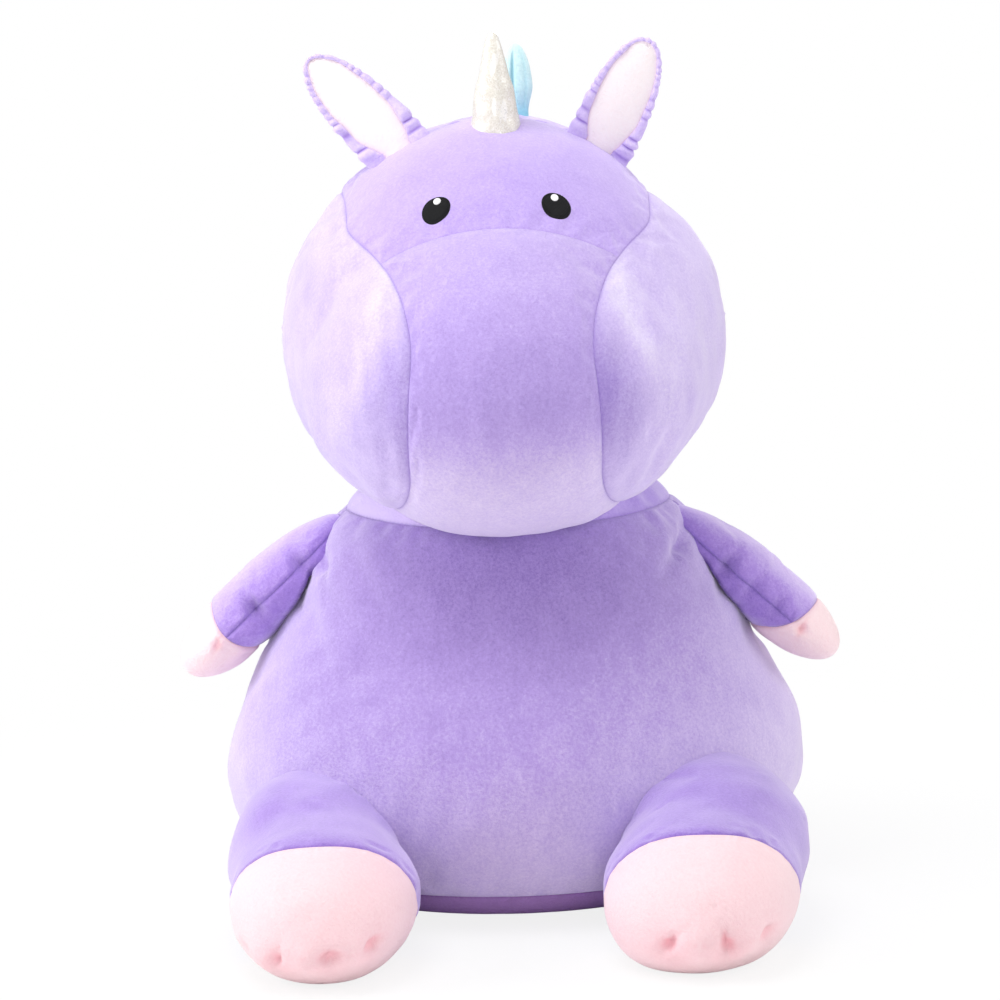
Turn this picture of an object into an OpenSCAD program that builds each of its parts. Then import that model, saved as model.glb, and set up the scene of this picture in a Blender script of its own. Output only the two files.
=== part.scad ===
// Sitting plush unicorn: cloth panels sewn over stuffing.
// Millimetres. +Z is up, the face looks along -Y, left is the toy's own left (+X).

/* [Head] */
// Width of the head at the cheeks
head_w = 390; // [378:2:402]
// Depth of the head without the muzzle
head_d = 320; // [310:2:330]
// Height of the head without the crown
head_h = 302; // [294:2:310]
// Height of the head's centre over the middle of the chest
head_up = 255; // [252:1:259]
// Width of the crown
crown_w = 276; // [264:2:288]
// Height of the crown's swelling
crown_h = 286; // [278:2:294]
// Width of the muzzle
muzzle_w = 310; // [298:2:322]
// Depth of the muzzle's swelling
muzzle_d = 244; // [236:2:252]
// Height of the muzzle's swelling
muzzle_h = 234; // [226:2:240]
// How far the middle of the muzzle lies before the head's centre
muzzle_out = 97; // [90:1:100]
// Angle of the side seams beside the muzzle, seen from the head's centre
muzzle_seam = 20.5; // [18:0.5:23]
// Angle of the brow seam over the horizontal at the middle
brow_angle = 32.5; // [29.5:0.5:35.5]

/* [Eyes] */
// Length of an embroidered eye
eye_l = 26; // [20:1:32]
// Width of an embroidered eye
eye_w = 20; // [14:1:24]
// Lean of the tops of the eyes towards each other
eye_lean = 35; // [0:5:45]
// Angle of an eye from the middle plane
eye_side = 18; // [15:0.2:21]
// Width of the white glint
glint_d = 7; // [4:0.5:9]

/* [Horn] */
// Width of the horn at its base
horn_d = 47; // [38:1:54]
// Height of the horn over the crown
horn_h = 77; // [66:1:92]
// Forward lean of the horn
horn_lean = 10; // [0:1:18]

/* [Ears] */
// Length of an ear
ear_l = 104; // [90:2:116]
// Greatest width of an ear
ear_w = 60; // [50:1:66]
// Thickness of an ear
ear_t = 18; // [14:1:20]
// Width of the gathered rim beside the lining
ear_rim = 7; // [5:0.5:10]
// Outward lean of the left ear
ear_lean_left = 27; // [20:1:40]
// Outward lean of the right ear
ear_lean_right = 42; // [32:1:48]
// Forward tilt of the left ear
ear_tilt_left = 20; // [0:1:24]

/* [Mane and tail] */
// Length of a mane tuft
tuft_l = 60; // [50:2:72]
// Width of a mane tuft
tuft_w = 28; // [22:1:34]
// Length of the tail
tail_l = 130; // [100:2:140]
// Width of the tail
tail_w = 46; // [36:1:54]

/* [Body] */
// Width of the belly
belly_w = 514; // [498:2:530]
// Depth of the belly
belly_d = 410; // [396:2:424]
// Height of the belly's swelling
belly_h = 320; // [310:2:330]
// Height of the widest part of the belly over the ground
belly_z = 120; // [114:1:124]
// Width of the chest
chest_w = 374; // [364:2:384]
// Depth of the chest
chest_d = 290; // [280:2:300]
// Height of the chest's swelling
chest_h = 300; // [292:2:308]
// Height of the middle of the chest over the ground
chest_z = 255; // [252:1:258]

/* [Arms] */
// Length of an arm's swelling
arm_l = 150; // [142:2:158]
// Thickness of an arm
arm_t = 54; // [48:1:60]
// Thickness of a hand
hand_t = 58; // [52:1:64]
// Angle at which the left arm hangs below the horizontal
arm_droop_left = 40; // [38:1:43]
// Angle at which the right arm hangs below the horizontal
arm_droop_right = 46; // [44:1:48]

/* [Legs] */
// Distance between the middles of the two legs
legs_apart = 322; // [318:2:326]
// How far both legs lie towards the toy's right hand
legs_shift = 6; // [4:1:8]
// Width of a thigh
thigh_w = 162; // [154:2:168]
// Height of a thigh
thigh_h = 152; // [146:2:156]
// Length of a thigh's swelling
thigh_l = 240; // [232:2:248]
// Width of a foot
foot_w = 158; // [150:2:166]
// How far the middle of a foot lies before the middle of its leg
foot_out = 46; // [40:1:52]
// Length of a foot's swelling
foot_l = 198; // [188:2:208]

/* [Cloth] */
// Thickness of the pile cloth
cloth_t = 3; // [2:0.5:4]
// Gap between two panels along a seam
seam_gap = 0.9; // [0.8:0.1:1.2]
// Gap between the cloth and its stuffing
fill_gap = 2; // [1.9:0.1:2.6]
// Gap between a limb and what it is sewn to
joint_gap = 1.2; // [1.2:0.1:1.6]

/* [Hidden] */
// Sharpness with which the swellings of a form run into each other
blend = 7;
// Travel of the head, chin down and chin up, in degrees
nod_down = 6;
nod_up = 8;
// Height that no form reaches
no_floor = 10000;

// A form is a centre, its swellings (offset and half sizes) and the height of the centre
// over the ground that flattens it.
head_c = [0, -20, chest_z + head_up];
head_form = [head_c, [
  [[0, 0, -12], [head_w, head_d, head_h] / 2],
  [[0, 15, 32], [crown_w, 256, crown_h] / 2],
  [[0, -muzzle_out, -49], [muzzle_w, muzzle_d, muzzle_h] / 2],
], no_floor];

body_c = [0, 5, 170];
body_form = [body_c, [
  [[0, 5, belly_z - body_c.z], [belly_w, belly_d, belly_h] / 2],
  [[0, 0, chest_z - body_c.z], [chest_w, chest_d, chest_h] / 2],
], body_c.z];

// A left leg, moved outwards by out
leg_z = 66;
function leg_form(out) = [[legs_apart / 2 + out, -200, leg_z], [
  [[12, 62, thigh_h / 2 - 6 - leg_z], [thigh_w, thigh_l, thigh_h] / 2],
  [[-7, -foot_out, -13], [foot_w, foot_l, 132] / 2],
], leg_z];

// An arm lies along its own X axis, with the hand at +X.
arm_c = [chest_w / 2 + 20, -15, chest_z + 28];
arm_form = [[0, 0, 0], [
  [[-10, 0, 0], [arm_l, 76, arm_t] / 2],
  [[52, 0, -1], [116, 72, hand_t] / 2],
], no_floor];

neck_pivot = [0, 20, head_c.z - 150];

function total(v, i = 0) = i == len(v) - 1 ? v[i] : v[i] + total(v, i + 1);
function unit(v) = v / norm(v);
function over(a, b) = [a.x / b.x, a.y / b.y, a.z / b.z];
function ease(t) = let (u = min(max(t, 0), 1)) u * u * (3 - 2 * u);

// Distance from a form's centre to the far side of one swelling along the unit vector d.
function swell(lobe, d, inset) =
  let (s = lobe[1] - [inset, inset, inset])
  let (q = over(d, s), o = over(lobe[0], s))
  let (a = q * q, b = q * o, c = o * o - 1)
  (b + sqrt(b * b - a * c)) / a;

// Distance from a form's centre to its surface, drawn in by inset.
function reach(form, d, inset = 0) =
  let (r = pow(total([for (l = form[1]) pow(swell(l, d, inset), blend)]), 1 / blend))
  d.z < -0.001 ? min(r, (inset - form[2]) / d.z) : r;

// Points of a form's surface along unit vectors.
function skin(form, dirs, inset) = [for (d = dirs) form[0] + reach(form, d, inset) * d];

// Point on a form's surface, raised by lift.
function on(form, d, lift = 0) = form[0] + (reach(form, d) + lift) * d;

// Unit vectors about each axis. The angles are in degrees.
function about_x(a, b) = [sin(b), -cos(b) * cos(a), cos(b) * sin(a)];
function about_z(f, e) = [cos(e) * sin(f), -cos(e) * cos(f), sin(e)];
function about_y(w, p) = [sin(p) * sin(w), -cos(p), sin(p) * cos(w)];
function along_x(w, p) = [cos(p), -sin(p) * cos(w), sin(p) * sin(w)];

// Two triangles for each cell of a grid, rows upwards and columns to the right from outside.
function cell(a, b, c, d) = [[a, d, c], [a, c, b]];
function cells(rows, cols, n, start, around) = [
  for (i = [0 : rows - 1], j = [0 : cols - 1])
    let (k = around ? (j + 1) % n : j + 1)
    let (a = start + i * n)
    each cell(a + j, a + k, a + n + k, a + n + j)
];
function turned(faces) = [for (f = faces) [f[0], f[2], f[1]]];

// Strip between two rows of points, one on each side of the cloth.
function strip(front, back, around) = [
  for (j = [0 : len(front) - (around ? 1 : 2)])
    let (k = (j + 1) % len(front))
    each [[front[j], back[j], back[k]], [front[j], back[k], front[k]]]
];

// Closed stuffed form.
module stuffed(form, inset, rows, cols) {
  dirs = concat(
    [[0, 0, -1]],
    [for (i = [1 : rows - 1], j = [0 : cols - 1]) about_z(360 * j / cols, 180 * i / rows - 90)],
    [[0, 0, 1]]
  );
  top = len(dirs) - 1;
  last = top - cols;
  faces = concat(
    [for (j = [0 : cols - 1]) [0, 1 + j, 1 + (j + 1) % cols]],
    cells(rows - 2, cols, cols, 1, true),
    [for (j = [0 : cols - 1]) [last + j, top, last + (j + 1) % cols]]
  );
  polyhedron(skin(form, dirs, inset), faces);
}

// Panel of cloth on a form. way(t, w) gives the direction of a point, both from 0 to 1.
// A panel that goes around the form closes on itself.
module panel(form, way, rows, cols, around = false, out = 0, t = cloth_t) {
  n = around ? cols : cols + 1;
  dirs = [for (i = [0 : rows], j = [0 : n - 1]) way(i / rows, j / cols)];
  m = len(dirs);
  outer = cells(rows, cols, n, 0, around);
  first_row = [for (j = [0 : n - 1]) j];
  last_row = [for (j = [0 : n - 1]) rows * n + j];
  left_edge = [for (i = [0 : rows]) i * n];
  right_edge = [for (i = [0 : rows]) i * n + n - 1];
  shift = [for (i = [0 : rows]) m];
  wide = [for (j = [0 : n - 1]) m];
  sides = around ? [] : concat(
    strip(left_edge, left_edge + shift, false),
    turned(strip(right_edge, right_edge + shift, false))
  );
  faces = concat(
    outer,
    [for (f = turned(outer)) f + [m, m, m]],
    strip(last_row, last_row + wide, around),
    turned(strip(first_row, first_row + wide, around)),
    sides
  );
  polyhedron(concat(skin(form, dirs, out), skin(form, dirs, out + t)), faces);
}

// Round panel of cloth on a form. way(t, w) gives the direction of a point: t is 0 at the
// middle and 1 at the rim, w goes clockwise from 0 to 360 seen from outside.
module cap(form, way, rows, cols, out = 0, t = cloth_t) {
  dirs = concat(
    [way(0, 0)],
    [for (i = [1 : rows], j = [0 : cols - 1]) way(i / rows, 360 * j / cols)]
  );
  m = len(dirs);
  outer = concat(
    [for (j = [0 : cols - 1]) [0, 1 + j, 1 + (j + 1) % cols]],
    cells(rows - 1, cols, cols, 1, true)
  );
  rim = [for (j = [0 : cols - 1]) m - cols + j];
  wide = [for (j = [0 : cols - 1]) m];
  faces = concat(outer, [for (f = turned(outer)) f + [m, m, m]], strip(rim, rim + wide, true));
  polyhedron(concat(skin(form, dirs, out), skin(form, dirs, out + t)), faces);
}

// Body carried along Z through rings of points that go counter-clockwise seen from above.
module loft(rings) {
  n = len(rings[0]);
  last = len(rings) - 1;
  bottom = total(rings[0]) / n;
  top = total(rings[last]) / n;
  points = concat([bottom], [for (r = rings) each r], [top]);
  end = len(points) - 1;
  faces = concat(
    [for (j = [0 : n - 1]) [0, 1 + j, 1 + (j + 1) % n]],
    cells(last, n, n, 1, true),
    [for (j = [0 : n - 1]) [1 + last * n + j, end, 1 + last * n + (j + 1) % n]]
  );
  polyhedron(points, faces);
}

// Takes a cut form as one mesh, so that the cut runs along the facets of both forms.
module as_mesh() resize([0, 0, 0]) children();

// Half width of a leaf at the share t of its length: round tip, base is its share of the width.
function leaf_half(w, t, base) = w / 2 * (base + (1 - base) * ease(t / 0.4)) * sqrt(max(1 - pow(t, 2.8), 0));

// Ring of a leaf: an arc from side to side, flat on the other side.
// side is 1 for the half behind the middle plane and -1 for the half before it, mid its middle.
function half_ring(z, mid, hw, depth, side, gap, n) = [
  for (j = [0 : n])
    let (x = -cos(180 * j / n))
    [mid - side * hw * x, side * (gap + depth * sqrt(max(1 - x * x, 0)) + 0.05), z],
  [mid - side * hw * 0.5, side * gap, z],
  [mid + side * hw * 0.5, side * gap, z]
];

// One half of a leaf that leans by slant to its side.
// The base is rounded about the X axis, on which the leaf turns.
module half_leaf(l, w, depth, side, gap, slant, n = 8, rows = 9) {
  base = [for (q = [75, 50, 25]) [-depth * 0.5 * sin(q), cos(q)]];
  blade = [for (i = [0 : rows]) let (t = i / rows) [0.985 * l * (1 - pow(1 - t, 1.4)), 1]];
  rings = [
    for (s = concat(base, blade))
      let (t = max(s[0], 0) / l)
      let (d = depth * (s[0] < 0 ? 0.5 * s[1] : (0.5 + 0.5 * ease(t / 0.35)) * sqrt(1 - pow(t, 4))))
      half_ring(s[0], max(s[0], 0) * slant, leaf_half(w, t, 1), d, side, gap, n)
  ];
  loft(rings);
}

// Ring of a whole leaf.
function leaf_ring(z, hw, depth, n) = [for (j = [0 : n - 1]) [hw * cos(360 * j / n), depth * sin(360 * j / n), z]];

// Whole leaf of thickness t, rounded at its base about the X axis.
module leaf(l, w, t, n = 14, rows = 7) {
  base = [for (q = [75, 50, 25]) [-t / 4 * sin(q), cos(q)]];
  blade = [for (i = [0 : rows]) let (s = i / rows) [0.985 * l * (1 - pow(1 - s, 1.4)), 1]];
  loft([
    for (s = concat(base, blade))
      let (u = max(s[0], 0) / l)
      let (d = t / 2 * (s[0] < 0 ? 0.5 * s[1] : (0.5 + 0.5 * ease(u / 0.35)) * sqrt(1 - pow(u, 4))))
      leaf_ring(s[0], leaf_half(w, u, 0.62), d, n)
  ]);
}

// Seam lines of the head. Angles are about the X axis: 0 before, 90 above, 180 behind.
function side_seam(a) =
  muzzle_seam + 29 * ease((a + 5) / 62) + 20 * ease((-30 - a) / 60) - 9 * ease((a - 120) / 100);
function brow_seam(b) = brow_angle - 7.7 * pow(b / 35, 2);
crown_seam = 92;
throat = -68;
nape = 257;
// Angle that a seam gap takes on the head and on the body
head_gap = seam_gap / 2 / 160 * 180 / PI;
body_gap = seam_gap / 2 / 200 * 180 / PI;

function strip_side(a, u, gap) = u * (side_seam(a) - gap / cos(side_seam(a)));
function cheek_way(t, w) =
  let (a = w > 270 ? w - 360 : w)
  about_x(a, 90 - t * (90 - side_seam(a) - head_gap / cos(side_seam(a))));
function muzzle_way(t, w) =
  let (u = 2 * w - 1)
  let (top = brow_seam(u * 35) - 2 * head_gap)
  let (a = throat + t * (top - throat))
  about_x(a, strip_side(a, u, head_gap));
function forehead_way(t, w) =
  let (u = 2 * w - 1)
  let (low = brow_seam(u * 35) + 2 * head_gap)
  let (a = low + t * (crown_seam - head_gap - low))
  about_x(a, strip_side(a, u, head_gap));
function head_back_way(t, w) =
  let (a = crown_seam + head_gap + t * (nape - crown_seam - head_gap))
  let (edge = side_seam(a) - head_gap / cos(side_seam(a)))
  about_x(a, head_gap + w * (edge - head_gap));

// Seam lines of the body. f is 0 before and 180 behind, e the angle over the horizontal.
// Side seam at the share t of the way up the body: it runs from behind the hip to before the arm.
function side_at(t) = 100 - 18 * ease((t - 0.46) / 0.52);
function base_seam(f) = -41 + 6.5 * pow(sin(f), 2);
function collar_seam(f) = 55.5 - 4.5 * pow(sin(f), 2);
// Edge of the flat seat: its distance from the middle and the angle at which it is seen.
seat_share = sqrt(1 - pow(2 * belly_z / belly_h, 2));
function seat_reach(f) = seat_share / norm([sin(f) / (belly_w / 2), cos(f) / (belly_d / 2)]);
function seat_edge(f) = -atan2(body_c.z, seat_reach(f) - 5 * cos(f));
function base_way(t, f) =
  t < 0.6 ? -90 + t / 0.6 * (90 + seat_edge(f)) : seat_edge(f) + (t - 0.6) / 0.4 * (base_seam(f) - seat_edge(f));
function body_way(t, f) =
  let (low = base_seam(f) + body_gap * 2, high = collar_seam(f) - body_gap * 2)
  about_z(f, low + t * (high - low));

// Foot seam on a leg: the angle from the toe at the turn w, with 0 above.
function foot_seam(w) = 57 - 28 * cos(w);
leg_gap = seam_gap / 2 / 110 * 180 / PI;
// Hand seam on an arm: the angle from the finger tip
hand_seam = 31;
arm_gap = seam_gap / 2 / 50 * 180 / PI;

filling_in = cloth_t + fill_gap;
limb_in = filling_in + 0.8;

module nod(a) translate(neck_pivot) rotate([a, 0, 0]) translate(-neck_pivot) children();

// Space that the head needs over its travel.
module head_room() for (a = [-nod_up - 0.4, 0, nod_down + 0.4]) nod(a) stuffed(head_form, 0.4 - joint_gap, 20, 32);

module under_head() as_mesh() difference() {
  children();
  head_room();
}

module beside_body() as_mesh() difference() {
  children();
  stuffed(body_form, -joint_gap, 34, 60);
}

module on_head() as_mesh() difference() {
  children();
  stuffed(head_form, -joint_gap / 2, 24, 36);
}

module right_side() mirror([1, 0, 0]) children();

// Torso
module body_filling() color("ivory") under_head() stuffed(body_form, filling_in, 16, 26);

module belly_panel() color("mediumpurple") under_head()
  panel(body_form, function(t, w) body_way(t, (2 * w - 1) * (side_at(t) - body_gap)), 10, 24);

module left_back_panel() color("mediumpurple") under_head()
  panel(body_form, function(t, w)
    let (side = side_at(t) + body_gap)
    body_way(t, side + w * (180 - side - body_gap)), 10, 8);

module right_back_panel() right_side() left_back_panel();

module base_panel() color("rebeccapurple")
  cap(body_form, function(t, w) about_z(w, base_way(t, w)), 5, 40);

module neck_collar() color("plum") under_head()
  panel(body_form, function(t, w)
    let (f = 360 * w, low = collar_seam(f)) about_z(f, low + t * (76 - low)), 3, 36, true);

// Head
module head_filling() color("ivory") stuffed(head_form, limb_in + 0.4, 16, 26);

module left_cheek_panel() color("thistle") cap(head_form, function(t, w) cheek_way(t, w), 6, 40);

module right_cheek_panel() right_side() left_cheek_panel();

module muzzle_panel() color("plum") panel(head_form, function(t, w) muzzle_way(t, w), 14, 7);

module forehead_panel() color("plum") panel(head_form, function(t, w) forehead_way(t, w), 6, 10);

module left_head_back_panel() color("plum") panel(head_form, function(t, w) head_back_way(t, w), 12, 5);

module right_head_back_panel() right_side() left_head_back_panel();

// Round patch of thread lying on the forehead, l long and w wide, tilted by lean.
module thread_patch(a, b, l, w, lean, out, t) {
  mid = about_x(a, b);
  right = [cos(b), sin(b) * cos(a), -sin(b) * sin(a)];
  up = [0, sin(a), cos(a)];
  r = reach(head_form, mid);
  cap(head_form, function(q, g)
    let (x = q * w / 2 * sin(g), y = q * l / 2 * cos(g))
    unit(mid + (x * cos(lean) - y * sin(lean)) / r * right + (x * sin(lean) + y * cos(lean)) / r * up),
    2, 16, out - t, t);
}

eye_at = 42.8;
eye_t = 1.6;
module left_eye() color("black") thread_patch(eye_at, eye_side, eye_l, eye_w, eye_lean, -0.3, eye_t);

module right_eye() right_side() left_eye();

module left_eye_glint() color("white")
  thread_patch(eye_at + 2.6, eye_side - 1.2, glint_d, glint_d, 0, -0.3 - eye_t - 0.2, 1);

module right_eye_glint() color("white")
  thread_patch(eye_at + 2.6, -eye_side + 1.2, glint_d, glint_d, 0, -0.3 - eye_t - 0.2, 1);

// Horn
horn_at = on(head_form, about_x(80, 0), -14);
horn_len = horn_h + 14;
module at_horn() translate(horn_at) rotate([horn_lean, 0, 0]) children();

module cone(r, l, tip) rotate_extrude($fn = 22) polygon([
  [0, 0], [r, 0], [r * 0.84 + tip * 0.16, l * 0.25], [r * 0.61 + tip * 0.39, l * 0.5],
  [r * 0.35 + tip * 0.65, l * 0.75], [tip, l - tip], [tip * 0.6, l - tip * 0.2], [0, l]
]);

module horn_cover() color("wheat") on_head() difference() {
  at_horn() cone(horn_d / 2, horn_len, 4);
  at_horn() translate([0, 0, -0.01]) cone(horn_d / 2 - cloth_t / 2, horn_len - cloth_t * 2, 2.5);
}

module horn_filling() color("ivory") on_head()
  at_horn() cone(horn_d / 2 - cloth_t / 2 - 0.5, horn_len - cloth_t * 2 - 1.2, 2);

// Ears. The base of an ear is rounded about the line on which the ear folds, which follows
// the slope of the head.
ear_base_r = ear_t / 4;
function ear_slope(b) = 6.4 + 0.85 * abs(b);
ear_side_left = 30.5;
ear_side_right = -29;
function ear_spot(b) = on(head_form, about_x(84, b), ear_base_r - 0.2);
module at_left_ear() translate(ear_spot(ear_side_left)) rotate([0, ear_slope(ear_side_left), 0])
  rotate([ear_tilt_left, 0, 0]) children();

module at_right_ear() translate(ear_spot(ear_side_right)) rotate([0, -ear_slope(ear_side_right), 0])
  children();

module ear_back(slant) color("mediumpurple") half_leaf(ear_l, ear_w, ear_t / 2, 1, 0, slant);

module ear_lining(slant) color("mistyrose")
  half_leaf(ear_l - ear_rim * 1.2, ear_w - ear_rim * 2, ear_t / 4, -1, 0.3, slant);

module left_ear_back() at_left_ear() ear_back(tan(ear_lean_left - ear_slope(ear_side_left)));

module left_ear_lining() at_left_ear() ear_lining(tan(ear_lean_left - ear_slope(ear_side_left)));

module right_ear_back() at_right_ear() ear_back(-tan(ear_lean_right - ear_slope(ear_side_right)));

module right_ear_lining() at_right_ear() ear_lining(-tan(ear_lean_right - ear_slope(ear_side_right)));

// Mane tufts, one behind the horn and two down the back of the head, and the tail
tuft_t = 14;
function tuft_spot(a, b, gap) = on(head_form, about_x(a, b), tuft_t / 4 + gap);
module tuft() color("paleturquoise") leaf(tuft_l, tuft_w, tuft_t);

module fore_tuft() translate(tuft_spot(100, 6.5, -1.1)) rotate([-6, -1, 0]) tuft();

module middle_tuft() translate(tuft_spot(128, 0, -0.9)) rotate([-80, 0, 0]) tuft();

module nape_tuft() translate(tuft_spot(158, 0, -0.3)) rotate([-124, 0, 0]) tuft();

tail_t = 24;
module tail() color("paleturquoise")
  translate(on(body_form, about_z(180, -12), tail_t / 4 + 0.1)) rotate([-150, 0, 0])
    leaf(tail_l, tail_w, tail_t);

// Arms, each with its own droop. The pieces are drawn for the left side.
module at_arm(droop) translate(arm_c) rotate([0, droop, -4]) children();

function arm_way(t, w, from, to) = along_x(from + w * (to - from), hand_seam + arm_gap + t * (172 - hand_seam));

module arm_filling(droop) color("ivory") beside_body() at_arm(droop) stuffed(arm_form, limb_in, 12, 16);

module arm_cover(droop, from) color("mediumpurple") beside_body() at_arm(droop)
  panel(arm_form, function(t, w) arm_way(1 - t, 1 - w, from + arm_gap, from + 180 - arm_gap), 7, 8);

module hand(droop) color("pink") at_arm(droop)
  cap(arm_form, function(t, w) along_x(w, t * (hand_seam - arm_gap)), 4, 16);

module left_arm_filling() arm_filling(arm_droop_left);

module left_arm_upper_panel() arm_cover(arm_droop_left, 0);

module left_arm_under_panel() arm_cover(arm_droop_left, 180);

module left_hand() hand(arm_droop_left);

module right_arm_filling() right_side() arm_filling(arm_droop_right);

module right_arm_upper_panel() right_side() arm_cover(arm_droop_right, 0);

module right_arm_under_panel() right_side() arm_cover(arm_droop_right, 180);

module right_hand() right_side() hand(arm_droop_right);

// A left leg moved outwards by out; the right leg is its mirror image
module leg_filling(out) color("ivory") beside_body() stuffed(leg_form(out), limb_in + 1.6, 12, 20);

module thigh(out) color("mediumpurple") beside_body()
  cap(leg_form(out), function(t, w) about_y(-w, 180 - t * (180 - foot_seam(w) - leg_gap)), 8, 22);

module foot(out) color("pink")
  cap(leg_form(out), function(t, w) about_y(w, t * (foot_seam(w) - leg_gap)), 7, 22);

module left_leg_filling() leg_filling(-legs_shift);

module left_thigh() thigh(-legs_shift);

module left_foot() foot(-legs_shift);

module right_leg_filling() right_side() leg_filling(legs_shift);

module right_thigh() right_side() thigh(legs_shift);

module right_foot() right_side() foot(legs_shift);

body_filling();
belly_panel();
left_back_panel();
right_back_panel();
base_panel();
neck_collar();
head_filling();
left_cheek_panel();
right_cheek_panel();
muzzle_panel();
forehead_panel();
left_head_back_panel();
right_head_back_panel();
left_eye();
right_eye();
left_eye_glint();
right_eye_glint();
horn_cover();
horn_filling();
left_ear_back();
left_ear_lining();
right_ear_back();
right_ear_lining();
fore_tuft();
middle_tuft();
nape_tuft();
tail();
left_arm_filling();
left_arm_upper_panel();
left_arm_under_panel();
left_hand();
right_arm_filling();
right_arm_upper_panel();
right_arm_under_panel();
right_hand();
left_leg_filling();
left_thigh();
left_foot();
right_leg_filling();
right_thigh();
right_foot();
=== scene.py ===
"""Sitting plush unicorn: panels of short pile cloth sewn over stuffing.

The shapes are worked out in millimetres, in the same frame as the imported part, and go into
the meshes in metres. Each panel is a grid on a stuffed form: it is drawn down at its seams,
let out by a cloth simulation between them and then placed as it is.
"""

import bpy
import numpy as np
from mathutils import Matrix, Vector


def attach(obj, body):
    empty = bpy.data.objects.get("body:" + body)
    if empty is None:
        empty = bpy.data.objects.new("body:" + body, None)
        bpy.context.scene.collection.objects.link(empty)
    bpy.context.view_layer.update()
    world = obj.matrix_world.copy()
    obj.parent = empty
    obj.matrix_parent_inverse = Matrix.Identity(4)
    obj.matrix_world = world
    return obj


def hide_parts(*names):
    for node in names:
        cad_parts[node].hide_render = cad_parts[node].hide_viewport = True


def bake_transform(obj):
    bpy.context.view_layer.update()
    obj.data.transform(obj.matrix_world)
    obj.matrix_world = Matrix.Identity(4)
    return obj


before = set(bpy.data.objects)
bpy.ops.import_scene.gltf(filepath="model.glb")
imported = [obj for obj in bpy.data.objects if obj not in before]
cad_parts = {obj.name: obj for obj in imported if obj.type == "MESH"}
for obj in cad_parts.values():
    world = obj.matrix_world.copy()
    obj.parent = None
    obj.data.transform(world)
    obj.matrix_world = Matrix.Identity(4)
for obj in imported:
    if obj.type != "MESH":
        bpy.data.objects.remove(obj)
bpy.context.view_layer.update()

SCENE = bpy.context.scene
MM = 0.001
CLOTH_FRAMES = 18
COARSE = 2.6
FLOOR = 0.3
SEAM_ALLOWANCE, MILD = 5.0, 12
CHIN_SINK, ARM_SINK, THIGH_SINK, EAR_SINK, TUFT_SINK = 3.0, 22, 5.0, 9.0, 8.0
ARM_GAP = 3
SIDES = (("left", False), ("right", True))
SEWN = {"sheet": ("low", "high", "left", "right"), "band": ("low",), "cap": ("high",)}


# Arithmetic of shapes

def ease(t):
    """Smooth step 3u^2 - 2u^3 of t held between 0 and 1."""
    u = np.clip(t, 0, 1)
    return u * u * (3 - 2 * u)


def bell(x, wide):
    return np.exp(-(x / wide) ** 2)


def dome(x):
    return np.sqrt(np.clip(1 - x, 0, 1))


def unit(v):
    return v / np.linalg.norm(v, axis=-1, keepdims=True)


def length(v):
    return np.linalg.norm(v, axis=-1)


def arc(degrees):
    """Sine and cosine of angles in degrees."""
    r = np.radians(degrees)
    return np.sin(r), np.cos(r)


def around(n):
    """Row of n even turns in radians."""
    return 2 * np.pi * np.arange(n)[None] / n


def stack(x, y, z):
    return np.stack(np.broadcast_arrays(x, y, z), -1).astype(float)


def round_z(r, g, z):
    """Points at the distance r and the turn g in radians about Z, at the height z."""
    return stack(r * np.sin(g), -r * np.cos(g), z)


def about_x(a, b):
    """Unit vectors by the turn a about X (0 before, 90 above) and the side angle b."""
    (sa, ca), (sb, cb) = arc(a), arc(b)
    return stack(sb, -cb * ca, cb * sa)


def about_z(f, e):
    """Unit vectors by the turn f about Z (0 before, 180 behind) and the rise e."""
    (sf, cf), (se, ce) = arc(f), arc(e)
    return stack(ce * sf, -ce * cf, se)


def about_y(w, p):
    """Unit vectors by the turn w about Y (0 above) and the angle p from the toe."""
    (sw, cw), (sp, cp) = arc(w), arc(p)
    return stack(sp * sw, -cp, sp * cw)


def along_x(w, p):
    """Unit vectors by the turn w about X and the angle p from the finger tip."""
    (sw, cw), (sp, cp) = arc(w), arc(p)
    return stack(cp, -sp * cw, sp * sw)


def turn(axis, degrees):
    """Rotation matrix about X, Y or Z."""
    s, c = arc(degrees)
    return np.array({
        "x": [[1, 0, 0], [0, c, -s], [0, s, c]],
        "y": [[c, 0, s], [0, 1, 0], [-s, 0, c]],
        "z": [[c, -s, 0], [s, c, 0], [0, 0, 1]],
    }[axis], float)


def lumps(points, size, seed, waves=18):
    """Smooth random field of about -1 to 1: the sum of plane waves whose lengths are near size."""
    rng = np.random.default_rng(seed)
    k = unit(rng.normal(size=(waves, 3))) * rng.uniform(0.7, 1.5, (waves, 1)) * 2 * np.pi / size
    phase = rng.uniform(0, 2 * np.pi, waves)
    return np.sin(points @ k.T + phase).sum(-1) / np.sqrt(waves)


def gathers(run, pitch, seed):
    """Irregular folds along a seam: the sum of sines of the run with lengths near pitch."""
    rng = np.random.default_rng(seed)
    k = 2 * np.pi / (pitch * rng.uniform(0.65, 1.7, 9))
    phase = rng.uniform(0, 2 * np.pi, 9)
    return np.sin(run[..., None] * k + phase).sum(-1) / 3


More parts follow.
